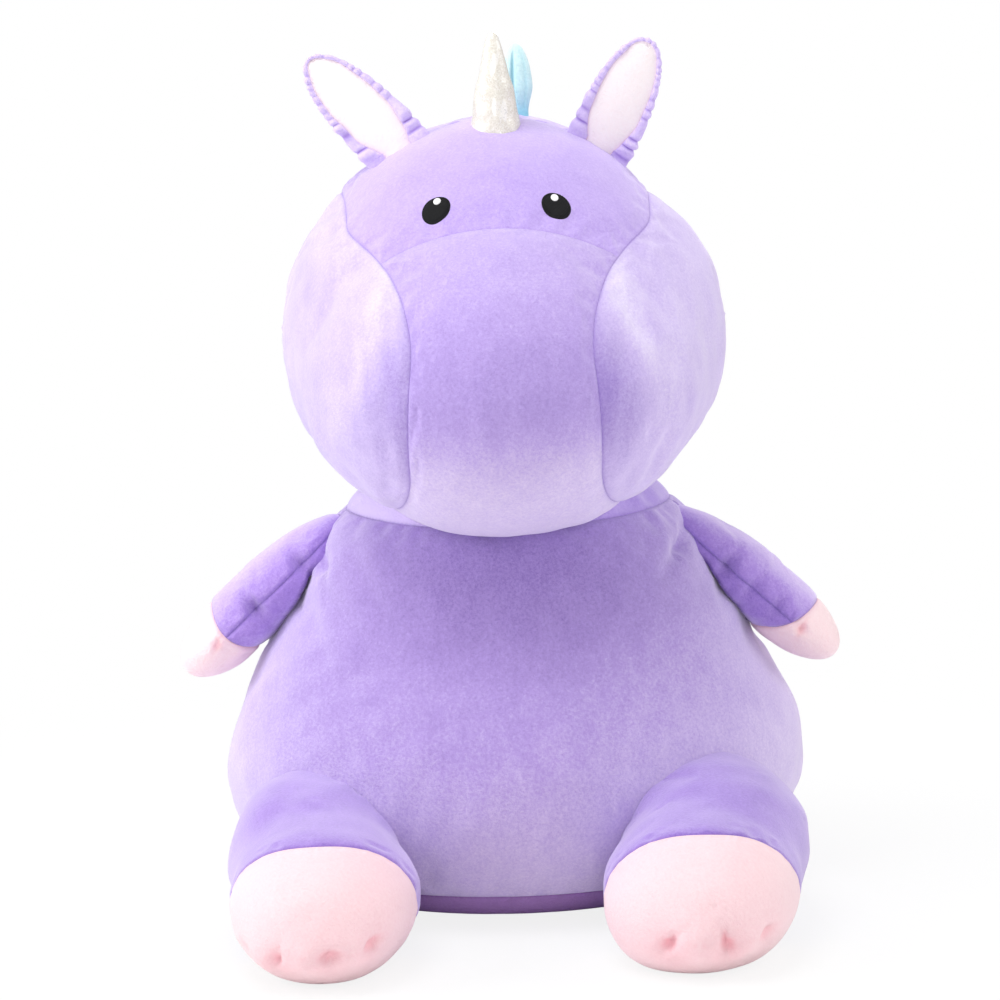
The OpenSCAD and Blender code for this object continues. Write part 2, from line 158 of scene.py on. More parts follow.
class Form:
    """Stuffed form: a centre and ellipsoid swellings. Its reach along a unit vector is the
    seventh root of the summed seventh powers of the distances to the far sides of the
    swellings, drawn in softly where the ground flattens it."""

    def __init__(self, centre, swellings, ground=None):
        self.centre = np.array(centre, float)
        self.swellings = [(np.array(o, float), np.array(s, float)) for o, s in swellings]
        self.ground = ground

    def reach(self, d):
        total = 0
        for offset, half in self.swellings:
            q, o = d / half, offset / half
            a, b, c = (q * q).sum(-1), (q * o).sum(-1), (o * o).sum() - 1
            total = total + ((b + np.sqrt(np.maximum(b * b - a * c, 0))) / a) ** 7
        r = total ** (1 / 7)
        if self.ground is not None:
            floor = self.ground / np.maximum(-d[..., 2], 1e-6)
            r = (r ** -24.0 + floor ** -24.0) ** (-1 / 24)
        return r

    def at(self, d):
        return self.centre + self.reach(d)[..., None] * d

    def skin(self, d):
        """Points of the surface along d, and its outward normals from two small steps."""
        side = np.where(np.abs(d[..., 2:3]) > 0.9, [1.0, 0, 0], [0, 0, 1.0])
        e = unit(np.cross(side, d))
        g = np.cross(d, e)
        p = self.at(d)
        step = 0.004
        n = np.cross(self.at(unit(d + step * e)) - p, self.at(unit(d + step * g)) - p)
        return p, unit(n)

    def press(self, points, depth):
        """Points that lie deeper than depth in the form are pushed out along their own ray."""
        ray = points - self.centre
        r = np.linalg.norm(ray, axis=-1, keepdims=True)
        d = ray / np.maximum(r, 1e-6)
        return self.centre + d * np.maximum(r, self.reach(d)[..., None] - depth)


HEAD = Form((0, -20, 510), [
    ((0, 0, -12), (195, 160, 151)), ((0, 15, 32), (138, 128, 143)), ((0, -97, -49), (155, 122, 117))])
BODY = Form((0, 5, 170), [((0, 5, -50), (257, 205, 160)), ((0, 0, 85), (187, 145, 150))], 170)
LEGS = {side: Form((x, -200, 66), [((off, 62, 4), thigh), ((-7, -46, -13), (79, 99, 66))], 66)
        for side, x, off, thigh in (("left", 155, 12, (81, 120, 76)), ("right", 167, 7, (76, 118, 71)))}
ARM = Form((0, 0, 0), [((-10, 0, 0), (75, 38, 27)), ((52, 0, -1), (58, 36, 29))])
ARM_AT = np.array([207.0, -15, 283])


# Panels

def between_seams(n):
    """Shares from 0 to 1, close together near both ends: t - 0.85 sin(2 pi t) / (2 pi)."""
    t = np.linspace(0, 1, n + 1)
    return t - 0.85 * np.sin(2 * np.pi * t) / (2 * np.pi)


def towards_rim(n):
    """Shares from 0 to 1, close together near 1: t + 0.8 sin(pi t) / pi."""
    t = np.linspace(0, 1, n + 1)
    return t + 0.8 * np.sin(np.pi * t) / np.pi


def cubic_weights(at, n, closed):
    """Matrix that carries n values at even places (n - 1 steps, or n when closed) to the
    shares at, by the Catmull-Rom cubic."""
    x = np.asarray(at) * (n if closed else n - 1)
    i = np.floor(x).astype(int) if closed else np.clip(np.floor(x).astype(int), 0, n - 2)
    f = x - i
    basis = [(-f + 2 * f**2 - f**3) / 2, (2 - 5 * f**2 + 3 * f**3) / 2,
             (f + 4 * f**2 - 3 * f**3) / 2, (-f**2 + f**3) / 2]
    made = np.zeros((len(x), n))
    for k, b in enumerate(basis):
        j = (i + k - 1) % n if closed else np.clip(i + k - 1, 0, n - 1)
        np.add.at(made, (np.arange(len(x)), j), b)
    return made


def grid_faces(rows, cols, kind):
    """Corner numbers of a grid's faces. A sheet is open, a band closes on itself along its
    rows, and a cap is a band whose first row is one point."""
    index = np.arange(rows * cols).reshape(rows, cols)
    if kind != "sheet":
        index = np.concatenate([index, index[:, :1]], 1)
    quads = np.stack([index[:-1, :-1], index[:-1, 1:], index[1:, 1:], index[1:, :-1]], -1)
    if kind != "cap":
        return quads.reshape(-1, 4).tolist()
    shift = cols - 1
    fan = np.stack([np.zeros(cols, int), index[1, 1:] - shift, index[1, :-1] - shift], -1)
    return fan.tolist() + (quads[1:] - shift).reshape(-1, 4).tolist()


def grid_points(grid, kind):
    flat = grid.reshape(-1, *grid.shape[2:])
    return np.concatenate([flat[:1], flat[grid.shape[1]:]]) if kind == "cap" else flat


def mesh_piece(name, grid, kind, values=None):
    """Object from a grid of points in millimetres, with float attributes from grids."""
    mesh = bpy.data.meshes.new(name)
    points = grid_points(grid, kind) * MM
    mesh.from_pydata(points.tolist(), [], grid_faces(*grid.shape[:2], kind))
    for key, value in (values or {}).items():
        layer = mesh.attributes.new(key, "FLOAT", "POINT")
        layer.data.foreach_set("value", grid_points(value, kind).astype(np.float32))
    mesh.polygons.foreach_set("use_smooth", np.ones(len(mesh.polygons), bool))
    mesh.update()
    piece = bpy.data.objects.new(name, mesh)
    SCENE.collection.objects.link(piece)
    return piece


class Panel:
    """Cloth panel: points and outward normals on a grid, the distance of each point to the
    nearest sewn edge, and how far along that edge it lies."""

    def __init__(self, points, normals, kind, sewn):
        self.points, self.normals, self.kind = points, normals, kind
        rows = length(np.diff(points, axis=0))
        up = np.concatenate([np.zeros_like(rows[:1]), np.cumsum(rows, 0)])
        cols = length(np.diff(points, axis=1))
        over = np.concatenate([np.zeros_like(cols[:, :1]), np.cumsum(cols, 1)], 1)
        edges = {
            "low": (up, over[:1] + 0 * up), "high": (up[-1:] - up, over[-1:] + 0 * up),
            "left": (over, up[:, :1] + 0 * up), "right": (over[:, -1:] - over, up[:, -1:] + 0 * up)}
        self.edges = {e: edges[e][0] for e in sewn}
        far = np.array(list(self.edges.values()))
        run = np.array([edges[e][1] for e in sewn])
        pick = far.argmin(0)[None]
        self.near = np.take_along_axis(far, pick, 0)[0]
        self.run = np.take_along_axis(run, pick, 0)[0] + 977 * pick[0]
        self.values = {"near": self.near, "run": self.run}

    def lift(self, height):
        self.points = self.points + np.asarray(height)[..., None] * self.normals


class Cut:
    """Pattern of a panel: way(t, w) gives directions on a form for shares t and w from 0 to 1."""

    def __init__(self, form, way, kind="sheet", mirror=False, at=None, spin=None, sewn=None):
        self.form, self.way, self.kind, self.sewn = form, way, kind, sewn or SEWN[kind]
        self.mirror, self.at, self.spin = mirror, at, spin

    def panel(self, t, w):
        d = self.way(t[:, None], w[None, :])
        p, n = self.form.skin(d)
        if self.spin is not None:
            p, n = p @ self.spin.T, n @ self.spin.T
        if self.at is not None:
            p = p + self.at
        if self.mirror:
            p, n = (v[:, ::-1] * [-1, 1, 1] for v in (p, n))
        return Panel(p, n, self.kind, self.sewn)

    def shares(self, rows, cols):
        t = towards_rim(rows) if self.kind == "cap" else between_seams(rows)
        w = between_seams(cols) if self.kind == "sheet" else np.arange(cols) / cols
        return t, w

    def even(self, rows, cols):
        w = np.linspace(0, 1, cols + 1) if self.kind == "sheet" else np.arange(cols) / cols
        return np.linspace(0, 1, rows + 1), w


def settle(panel, pressure, growth, cap):
    """Cloth simulation of a panel held along its seams: the stuffing presses it outwards and
    the cloth is cut a little large. Gives the move of each point, capped, in millimetres."""
    piece = mesh_piece("settling", panel.points, panel.kind)
    group = piece.vertex_groups.new(name="sewn")
    near = grid_points(panel.near, panel.kind)
    for low, high, weight in ((-1, 2, 1.0), (2, 7, 0.5)):
        group.add(np.nonzero((near > low) & (near <= high))[0].tolist(), weight, "REPLACE")
    cloth = piece.modifiers.new("settle", "CLOTH")
    s = cloth.settings
    s.quality, s.mass, s.air_damping = 5, 0.2, 2
    s.tension_stiffness = s.compression_stiffness = 20
    s.shear_stiffness, s.bending_stiffness = 10, 0.6
    s.vertex_group_mass, s.pin_stiffness = group.name, 1
    s.use_pressure, s.uniform_pressure_force = True, pressure
    s.shrink_min = s.shrink_max = -growth
    s.effector_weights.gravity = 0
    cloth.collision_settings.use_collision = False
    cloth.point_cache.frame_start, cloth.point_cache.frame_end = 1, CLOTH_FRAMES
    for number in range(1, CLOTH_FRAMES + 1):
        SCENE.frame_set(number)
    mesh = piece.evaluated_get(bpy.context.evaluated_depsgraph_get()).data
    co = np.empty(len(mesh.vertices) * 3, np.float32)
    mesh.vertices.foreach_get("co", co)
    move = co.reshape(-1, 3) / MM - grid_points(panel.points, panel.kind)
    old = piece.data
    bpy.data.objects.remove(piece)
    bpy.data.meshes.remove(old)
    SCENE.frame_set(1)
    far = length(move)[:, None]
    move = move * np.minimum(1, cap / np.maximum(far, 1e-9))
    if panel.kind == "cap":
        move = np.concatenate([np.repeat(move[:1], panel.points.shape[1], 0), move[1:]])
        move = move.reshape(panel.points.shape)
        share = ease(np.linspace(0, 1, len(move)) / 0.3)[:, None, None]
        return move.mean(1, keepdims=True) * (1 - share) + move * share
    return move.reshape(panel.points.shape)


def tailor(cut, rows, cols, seed, draw=2.5, roll=3.6, depth=0.9, lump=0.8, pucker=0.5, pitch=26,
           growth=0.012, pressure=3.0, cap=5, shape=None, tone=None, mild=None):
    """Finished panel of a cut. Heights over the form: -draw exp(-near / 45) where the seams
    draw it in, less depth (1 - near / roll)^2 at them, lumps of the stuffing, and folds that
    fade away from the seam. The simulated move is carried over from a coarser, even grid.
    tone(t, w) gives a tone from pale (1) to deep (-1), mostly painted light and shade with some brushed nap,
    and the edge mild is sewn flat."""

    def dress(panel):
        near, at = panel.near, panel.points
        flat = bell(panel.edges[mild], MILD) if mild else 0
        high = -draw * np.exp(-near / 45)
        high = high - depth * (1 - 0.75 * flat) * np.clip(1 - near / roll, 0, 1) ** 2
        high = high + lump * ease(near / 28) * (lumps(at, 95, seed) + 0.5 * lumps(at, 42, seed + 1))
        fold = gathers(panel.run, pitch, seed + 2) * bell(near - 6, 16)
        high = high + pucker * fold * ease(near / 4) * (0.5 + 0.5 * lumps(at, 120, seed + 3))
        panel.lift(high)
        if shape:
            shape(panel)
        return panel

    t, w = cut.shares(rows, cols)
    fine = cut.panel(t, w)
    if mild:
        fine.values["near"] = fine.near + 1.6 * bell(fine.edges[mild], MILD)
    if tone:
        # The tone is mostly painted light and shade, with some brushed nap.
        fine.values["nap_and_painted_light"] = tone(t[:, None], w[None, :])[:, ::-1 if cut.mirror else 1]
    dress(fine)
    a, b = cut.even(round(rows / COARSE), round(cols / COARSE))
    move = settle(dress(cut.panel(a, b)), pressure, growth, cap)
    up = cubic_weights(t, len(a), False)
    along = 1 - w[::-1] if cut.mirror and cut.kind == "sheet" else w
    over = cubic_weights(along, len(b), cut.kind != "sheet")
    fine.points = fine.points + np.einsum("ia,jb,abk->ijk", up, over, move)
    fine.points[..., 2] = np.maximum(fine.points[..., 2], FLOOR)
    return fine


def with_flange(panel):
    """Points, values and normals of a panel whose sewn border is turned in, inside the toy."""
    pad = {"sheet": ((1, 1), (1, 1)), "band": ((1, 1), (0, 0)), "cap": ((0, 1), (0, 0))}[panel.kind]
    points = np.pad(panel.points, pad + ((0, 0),), mode="edge")
    normals = np.pad(panel.normals, pad + ((0, 0),), mode="edge")
    inside = np.pad(np.zeros(panel.near.shape), pad, constant_values=SEAM_ALLOWANCE)
    values = {k: np.pad(v, pad, mode="edge") for k, v in panel.values.items()}
    return points - inside[..., None] * normals, values, normals


def facing_out(grid, values, away):
    """The grid and its values, turned round where its faces don't look along away."""
    a, b = grid[1:, 1:] - grid[:-1, :-1], grid[1:, :-1] - grid[:-1, 1:]
    if (np.cross(a, b) * away[1:, 1:]).sum() > 0:
        return grid, values
    return grid[:, ::-1], {k: v[:, ::-1] for k, v in values.items()}


def sew(name, panel, finish, body, also=(), blend=None):
    """Puts a panel into the scene as a stuffed cover."""
    put(name, panel.kind, with_flange(panel), finish, body, also, blend)


def put(name, kind, shape, finish, body, also=(), blend=None):
    """Piece of a shape (grid, values, facing). It stands for the solid of its name and also for
    others, and rides on its body; when blend is given, it is set in the world instead and rides on no body."""
    grid, values = facing_out(*shape)
    piece = mesh_piece(name, grid, kind, values)
    piece.data.materials.append(finish)
    if blend:
        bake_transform(piece)
    else:
        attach(piece, body)
    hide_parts(name, *also)


def pinch(panel, spot, wide, deep, crease, slim, lean):
    """Stitch pulled into the cloth: deep exp(-(r / wide)^2) at the spot, a crease of half
    length crease through it, leaning from the upright by lean, and a ridge on each side of
    it. Gives the share of the pinch at each point."""
    gap = panel.points - spot
    side = np.sign(gap[..., 0]) * np.hypot(gap[..., 0], gap[..., 1])
    s, c = arc(lean)
    across, along = side * c - gap[..., 2] * s, side * s + gap[..., 2] * c
    near = length(gap)
    hollow = bell(near, wide)
    line = np.exp(-(across / slim) ** 2 - (along / crease) ** 2)
    ridge = np.exp(-((np.abs(across) - wide) / (0.6 * wide)) ** 2 - (near / (2.2 * wide)) ** 2)
    panel.lift(-deep * (0.75 * hollow + 0.4 * line) + 0.22 * deep * ridge)
    return np.clip(hollow + 0.8 * line, 0, 1)


def swell(panel, *places):
    """Stuffing that lies uneven: high exp(-(r / wide)^2) round each spot."""
    for spot, wide, high in places:
        far = length(panel.points - spot)
        panel.lift(high * bell(far, wide))


# Finishes

def joined(operation, swapped=False):
    """Method that joins a wire and another value by a Math node, in either order."""
    def method(self, other):
        return self.math(operation, *((other, self) if swapped else (self, other)))
    return method


class Wire:
    """One output in a node tree. Arithmetic on it adds Math nodes."""

    def __init__(self, nodes, socket):
        self.nodes, self.socket = nodes, socket

    def math(self, operation, *values):
        return self.nodes.node("Math", dict(enumerate(values)), operation=operation)

    __add__ = __radd__ = joined("ADD")
    __sub__, __rsub__ = joined("SUBTRACT"), joined("SUBTRACT", True)
    __mul__ = __rmul__ = joined("MULTIPLY")
    __pow__, __rpow__ = joined("POWER"), joined("POWER", True)


def linear(srgb):
    """Linear colour of an 8-bit one: ((c + 0.055) / 1.055)^2.4 above 0.04045."""
    c = np.array(srgb, float) / 255
    return (*np.where(c > 0.04045, ((c + 0.055) / 1.055) ** 2.4, c / 12.92), 1.0)


class Nodes:
    """Node tree that is built by calls."""

    def __init__(self, tree):
        self.tree = tree

    def node(self, kind, sockets=None, out=0, **settings):
        """New shader node of a kind, as the wire from one of its outputs."""
        made = self.tree.nodes.new("ShaderNode" + kind)
        for key, value in settings.items():
            setattr(made, key, value)
        for key, value in (sockets or {}).items():
            self.feed(made.inputs[key], value)
        return Wire(self, made.outputs[out])

    def feed(self, socket, value):
        if isinstance(value, Wire):
            self.tree.links.new(value.socket, socket)
        else:
            socket.default_value = value


class Finish(Nodes):
    """Material around one Principled shader."""

    def __init__(self, name):
        self.material = bpy.data.materials.new(name)
        self.material.use_nodes = True
        super().__init__(self.material.node_tree)
        self.shader = self.tree.nodes["Principled BSDF"]

    def set(self, **values):
        """Sockets of the shader by name, with _ for a space."""
        for key, value in values.items():
            self.feed(self.shader.inputs[key.replace("_", " ")], value)

    def place(self, scale=(1, 1, 1), rotation=(0, 0, 0)):
        at = self.node("TexCoord", out="Object")
        return self.node("Mapping", {"Vector": at, "Scale": scale, "Rotation": rotation})

    def noise(self, size, detail, rough, scale=(1, 1, 1), rotation=(0, 0, 0)):
        """Noise whose lumps are about size millimetres, stretched by scale."""
        return self.node("TexNoise", {
            "Vector": self.place(scale, rotation), "Scale": 1000 / size, "Detail": detail,
            "Roughness": rough}, normalize=True)

    def attribute(self, name):
        return self.node("Attribute", out="Fac", attribute_name=name)

    def ramp(self, value, *stops):
        made = self.node("ValToRGB", {"Fac": value})
        ramp = made.socket.node.color_ramp.elements
        while len(ramp) < len(stops):
            ramp.new(0.5)
        for stop, (place, colour) in zip(ramp, stops):
            stop.position, stop.color = place, linear(colour)
        return made

    def mix(self, share, a, b):
        return self.node("Mix", {0: share, 6: a, 7: b}, 2, data_type="RGBA", clamp_factor=True)

    def bump(self, height, distance, strength):
        return self.node("Bump", {"Height": height, "Distance": distance, "Strength": strength})

    def facing(self):
        """0 where the cloth is seen straight on, 1 where it turns away."""
        return self.node("LayerWeight", {"Blend": 0.5}, "Facing")


def pile_cloth(name, deep, mid, pale, seam, brushed=0.2, sheen=0.6, sheen_colour=(238, 228, 253), glow=0.5,
               nap=(1, 1, 0.4), turned=(0, 0, 0), stitch=0.2, **tints):
    """Short velvety pile: soft brushed patches, long streaks, a fine grain, a painted sheen that turns the
    colour pale where the cloth turns away from the camera, and painted shade with stitches in the seams. An
    attribute of painted light and shade, with some brushed nap, shifts the tone, and each tint comes in by
    the attribute of its name: painted shade in pinched stitches and a seam line on the feet, painted shade in
    creases, folds, dents and the gap under the arms, and a deeper tone at the foot of a tuft."""
    f = Finish(name)
    patches = f.noise(150, 1.5, 0.4)
    streaks = f.noise(13, 3.0, 0.55, nap, turned)
    grain = f.noise(2.6, 2.0, 0.65)
    hairs = f.noise(0.9, 1.0, 0.5)
    tone = 0.5 + (patches - 0.5) * (0.7 * brushed) + (streaks - 0.5) * (1.1 * brushed) \
        + (grain - 0.5) * 0.5 + (hairs - 0.5) * 0.25
    # Painted light and shade from the panel's tone, with some brushed nap.
    tone = tone + f.attribute("nap_and_painted_light") * (0.32 + (patches - 0.5) * 0.3)
    colour = f.ramp(tone, (0.0, deep), (0.5, mid), (1.0, pale))
    # Painted sheen: the colour turns towards the sheen colour where the cloth turns away from the camera.
    colour = f.mix(f.facing() ** 1.7 * glow, colour, linear(sheen_colour))
    near, run = f.attribute("near"), f.attribute("run")
    # Painted shade in the seam groove, with stitches of the thread along it.
    groove = 0.5 ** near
    sewn = run.math("SINE", run * 1.45) * 0.5 + 0.5
    colour = f.mix(groove * (1 - stitch + sewn * stitch) * 0.62, colour, linear(seam))
    # Tints: painted shade in pinches, creases, folds, dents and the arm gap, a seam line on the feet, and a
    # deeper tone at the root of a tuft.
    for key, tint in tints.items():
        colour = f.mix(f.attribute(key), colour, linear(tint))
    normal = f.bump(hairs * 0.6 + grain * 1.0 + streaks * 0.3, 0.0013, 0.55)
    f.set(Base_Color=colour, Roughness=0.92 - streaks * 0.1, Normal=normal, Sheen_Weight=sheen,
          Sheen_Roughness=0.5, Sheen_Tint=linear(sheen_colour), Specular_IOR_Level=0.1)
    return f.material


# The lilac finishes are copies of one pile with part of the light painted in: BELLY deeper for the shade
# under the head, THIGH deeper for the limbs, MUZZLE deeper where it looks forward, and CHEEK paler, partly
# for brushed nap and partly for painted sheen.
LILAC = pile_cloth("lilac_pile", (152, 124, 204), (188, 164, 230), (224, 208, 247), (138, 106, 194))
MUZZLE = pile_cloth("lilac_pile_muzzle", (140, 116, 190), (186, 163, 225), (230, 217, 243), (146, 116, 200))
CHEEK = pile_cloth("lilac_pile_cheeks", (156, 132, 204), (203, 185, 234), (240, 232, 250), (152, 124, 204),
                   brushed=0.36, nap=(1, 0.3, 0.22), turned=(0.5, 0.0, 0.3), glow=0.6)
BELLY = pile_cloth("lilac_pile_belly", (122, 96, 170), (174, 150, 214), (224, 210, 240), (118, 88, 170),
                   glow=0.6)
# Its fold tint is painted shade in the dents of the arms and in the gap under them.
THIGH = pile_cloth("lilac_pile_limbs", (124, 94, 184), (171, 141, 219), (218, 196, 245), (108, 78, 172),
                   fold=(74, 50, 120))
BASE = pile_cloth("purple_base", (132, 96, 156), (166, 128, 188), (192, 158, 208), (106, 74, 132), sheen=0.3,
                  sheen_colour=(170, 140, 190), glow=0.3)
# The deeper pink tint is painted shade in pinched stitches, with a seam line across the feet.
PINK = pile_cloth("pink_pile", (236, 192, 200), (248, 214, 219), (254, 231, 234), (240, 188, 202),
                  brushed=0.1, sheen=0.2, sheen_colour=(255, 238, 240), stitch=0.1, blush=(240, 146, 160))
LINING = pile_cloth("ear_lining", (252, 236, 237), (255, 246, 245), (255, 252, 252), (232, 190, 222),
                    brushed=0.1, sheen=0.3, sheen_colour=(255, 250, 250), stitch=0.0)
# Its fold tint is painted shade in the ear's gathers.
RIM = pile_cloth("lilac_pile_ears", (190, 166, 234), (218, 200, 247), (240, 230, 253), (150, 118, 208),
                 stitch=0.0, fold=(150, 116, 210))
# Its fold tint is painted shade in the creases of the tufts; its root tint is a deeper tone at the foot of a
# tuft.
AQUA = pile_cloth("aqua_pile", (166, 214, 226), (208, 238, 240), (232, 248, 249), (150, 204, 222),
                  sheen_colour=(236, 250, 251), nap=(1, 1, 0.25), stitch=0.0,
                  root=(138, 204, 222), fold=(132, 198, 216))


def glitter_cloth():
    """Pale cloth under a film of glitter: fine flat flakes, each at its own tilt and tint, a
    greyer tone where few flakes lie, and patches of film with a painted white highlight, where the film is
    also glossier."""
    f = Finish("glitter_cloth")
    flakes = f.node("TexVoronoi", {"Vector": f.place(), "Scale": 900.0, "Randomness": 1.0}, "Color",
                    feature="F1")
    parts = f.node("SeparateColor", {"Color": flakes})
    other = Wire(f, parts.socket.node.outputs[1])
    film = f.noise(11, 2.0, 0.5, (1.0, 1.0, 0.3), (0.2, 0.0, 0.0))
    thin = f.noise(26, 2.0, 0.5)
    shine = f.node("MapRange", {"Value": film, "From Min": 0.58, "From Max": 0.64},
                   interpolation_type="SMOOTHSTEP")
    base = f.mix(thin, linear((222, 216, 203)), linear((244, 239, 228)))
    flecks = f.ramp(parts, (0.0, (212, 206, 194)), (0.5, (236, 232, 221)), (1.0, (255, 255, 252)))
    colour = f.mix(0.35 + other * 0.3, base, flecks)
    # Painted highlight: the shine patches turn the colour to near white.
    colour = f.mix(shine * 0.8, colour, linear((255, 253, 248)))
    normal = f.bump(parts * 1.0 + other * 0.6, 0.0006, 0.5)
    f.set(Base_Color=colour, Roughness=0.55 - other * 0.25 - shine * 0.2, Metallic=parts ** 4.0 * 0.3,
          Normal=normal, Coat_Weight=0.25 + shine * 0.5, Coat_Roughness=0.2)
    return f.material


def stitched_thread(name, dark, light, gloss, across):
    """Satin stitch: fine parallel threads with a soft shine along them."""
    f = Finish(name)
    threads = f.node("TexWave", {
        "Vector": f.place(rotation=across), "Scale": 330.0, "Distortion": 1.2, "Detail": 2.0,
        "Detail Scale": 2.0}, "Fac", wave_type="BANDS", bands_direction="X")
    wisps = f.noise(2.5, 3.0, 0.6)
    colour = f.mix(threads * 0.55 + wisps * 0.35, linear(dark), linear(light))
    # Painted shade in the groove inside the raised edge, where the attribute fold is high.
    colour = f.mix(f.attribute("fold"), colour, linear(tuple(0.35 * c for c in dark)))
    f.set(Base_Color=colour, Roughness=gloss + wisps * 0.2, Normal=f.bump(threads, 0.0004, 0.7),
          Specular_IOR_Level=0.25, Sheen_Weight=0.02)
    return f.material


GLITTER = glitter_cloth()
BLACK = stitched_thread("black_thread", (3, 3, 5), (15, 16, 20), 0.6, (0, 0.5, 0.2))
WHITE = stitched_thread("white_thread", (240, 240, 242), (255, 255, 255), 0.4, (0, 0.2, 0.1))


# Seam lines, in degrees. Brow, throat and nape lie a little off those of the solids

CROWN, THROAT, NAPE, HAND = 92, -90, 270, 31
ARM_ROOT, COLLAR_TOP = 176, 84


def side_seam(a):
    """Side angle of the seam beside the muzzle, forehead and back of the head at the turn a."""
    return 20.5 + 29 * ease((a + 5) / 62) + 20 * ease((-30 - a) / 60) - 9 * ease((a - 120) / 100)


def brow_seam(b):
    return 34.6 - 7.7 * (b / 35) ** 2


def base_seam(f):
    return -41 + 6.5 * arc(f)[0] ** 2


def collar_seam(f):
    return 55.5 - 4.5 * arc(f)[0] ** 2


def side_at(t):
    """Turn of the body's side seam at the share t of the way up: behind the hip, before the arm."""
    return 100 - 18 * ease((t - 0.46) / 0.52)


def foot_seam(w):
    return 57 - 28 * arc(w)[1]


def strip_way(low, high):
    """Middle strip of the head between the side seams, from the turn low(u) to high(u)."""
    def way(t, w):
        u = 2 * w - 1
        a = low(u) + t * (high(u) - low(u))
        return about_x(a, u * side_seam(a))
    return way


def cheek_turn(w):
    return np.where(w > 0.75, 360 * w - 360, 360 * w)


def cheek_way(t, w):
    a = cheek_turn(w)
    return about_x(a, 90 - t * (90 - side_seam(a)))


def head_back_way(t, w):
    a = CROWN + t * (NAPE - CROWN)
    return about_x(a, w * side_seam(a))


def girth_way(f0, f1, low, high):
    """Panel round the body from the turn f0(t) to f1(t), between two lines of rise."""
    def way(t, w):
        f = f0(t) + w * (f1(t) - f0(t))
        return about_z(f, low(f) + t * (high(f) - low(f)))
    return way


# Torso, pressed in under the head

NECK_BLEND = ("torso", (0, 0, 300), (0, 0, 400))


def waist(points):
    """How far the stuffing stands out of the form beside the arms: 9 mm on the right side, and
    4 and 5 mm at two heights on the left."""
    x, z = points[..., 0], points[..., 2]
    lower, upper = np.where(x > 0, 4, 9), np.where(x > 0, 5, 0)
    out = lower * bell(z - 228, 32) + upper * bell(z - 250, 18)
    return out * ease((np.abs(x) - 100) / 80)


def under_head(panel):
    """The stuffing fills the waist beside the arms and leaves the right shoulder and hip slack,
    and the head presses the chest in."""
    gap = length(panel.points - (-152, 8, 338))
    panel.lift(waist(panel.points) - 4 * bell(gap, 26))
    swell(panel, ((-236, 5, 165), 42, -8.5))
    panel.points = HEAD.press(panel.points, CHIN_SINK)


def belly_folds(panel):
    """The armpits pull two short folds into the belly."""
    pinch(panel, (-160, -56, 303), 12, 8, 26, 6, -45)
    pinch(panel, (148, -66, 313), 12, 9, 30, 6, 60)
    under_head(panel)


def neck_piece(name, cut, rows, cols, finish, seed, also=(), shape=under_head, **how):
    panel = tailor(cut, rows, cols, seed, shape=shape, draw=1.5, **how)
    sew(name, panel, finish, "head", also, blend=NECK_BLEND)


belly_way = girth_way(lambda t: -side_at(t), side_at, base_seam, collar_seam)


def belly_tone(t, w):
    """Painted light and shade: deep under the chin, where the head shades the chest, paler towards the seat
    and the sides, and paler on the left side below the chest.
    """
    u = np.abs(2 * w - 1)
    return (0.9 * ease((0.5 - t) / 0.45) - 0.7 * ease((t - 0.45) / 0.45) * (1 - u**2) + 0.45 * u**2
            + 0.35 * ease((w - 0.55) / 0.2) * ease((0.85 - t) / 0.3))


neck_piece("belly_panel", Cut(BODY, belly_way), 130, 200, BELLY, 11,
           ("body_filling",), belly_folds, pucker=1.1, lump=1.4, tone=belly_tone)
back_way = girth_way(side_at, lambda t: 180 + 0 * t, base_seam, collar_seam)
for side, mirror in SIDES:
    neck_piece(f"{side}_back_panel", Cut(BODY, back_way, mirror=mirror), 130, 130, BELLY,
               21 + mirror, pucker=1.1, lump=1.4)
collar_way = girth_way(lambda t: 0 * t, lambda t: 360 + 0 * t, collar_seam, lambda f: COLLAR_TOP + 0 * f)
# Painted light and shade: the collar is paler on its right side, towards the stronger side light, and deeper
# on its left.
neck_piece("neck_collar", Cut(BODY, collar_way, "band"), 40, 200, LILAC, 31,
           tone=lambda t, w: 1.0 - 1.3 * arc(360 * w)[0] + 0 * t)


def base_way(t, w):
    f = 360 * w
    return about_z(f, -90 + t * (90 + base_seam(f)))


base = tailor(Cut(BODY, base_way, "cap"), 70, 240, 41, draw=1.5, pucker=1.6, pitch=34, growth=0.0,
              pressure=0.5, cap=3, lump=0.0)
sew("base_panel", base, BASE, "torso")


# Head

def uneven(panel):
    """Less stuffing in the right cheek and the left temple, more in the right temple."""
    swell(panel, ((-198, -25, 497), 85, -6.5), ((-135, -10, 643), 40, 7), ((149, -5, 626), 34, -6))


def head_piece(name, cut, rows, cols, finish, seed, also=(), **how):
    panel = tailor(cut, rows, cols, seed, shape=uneven, **how)
    sew(name, panel, finish, "head", also)
    return panel


def brow_line(u):
    return brow_seam(35 * u)


muzzle_way = strip_way(lambda u: THROAT + 0 * u, brow_line)
forehead_way = strip_way(brow_line, lambda u: CROWN + 0 * u)


def muzzle_tone(t, w):
    """Painted shade where the muzzle looks forward, and painted light under the chin, where the floor throws
    light up.
    """
    a = THROAT + t * (brow_line(2 * w - 1) - THROAT)
    return 1.1 * ease((-12 - a) / 24) - 0.4 * ease((16 - a) / 24) * ease((a + 30) / 18)


head_piece("muzzle_panel", Cut(HEAD, muzzle_way), 130, 90, MUZZLE, 51,
           ("head_filling",), tone=muzzle_tone, mild="high")
forehead = head_piece("forehead_panel", Cut(HEAD, forehead_way), 80, 120, LILAC, 61, mild="low")


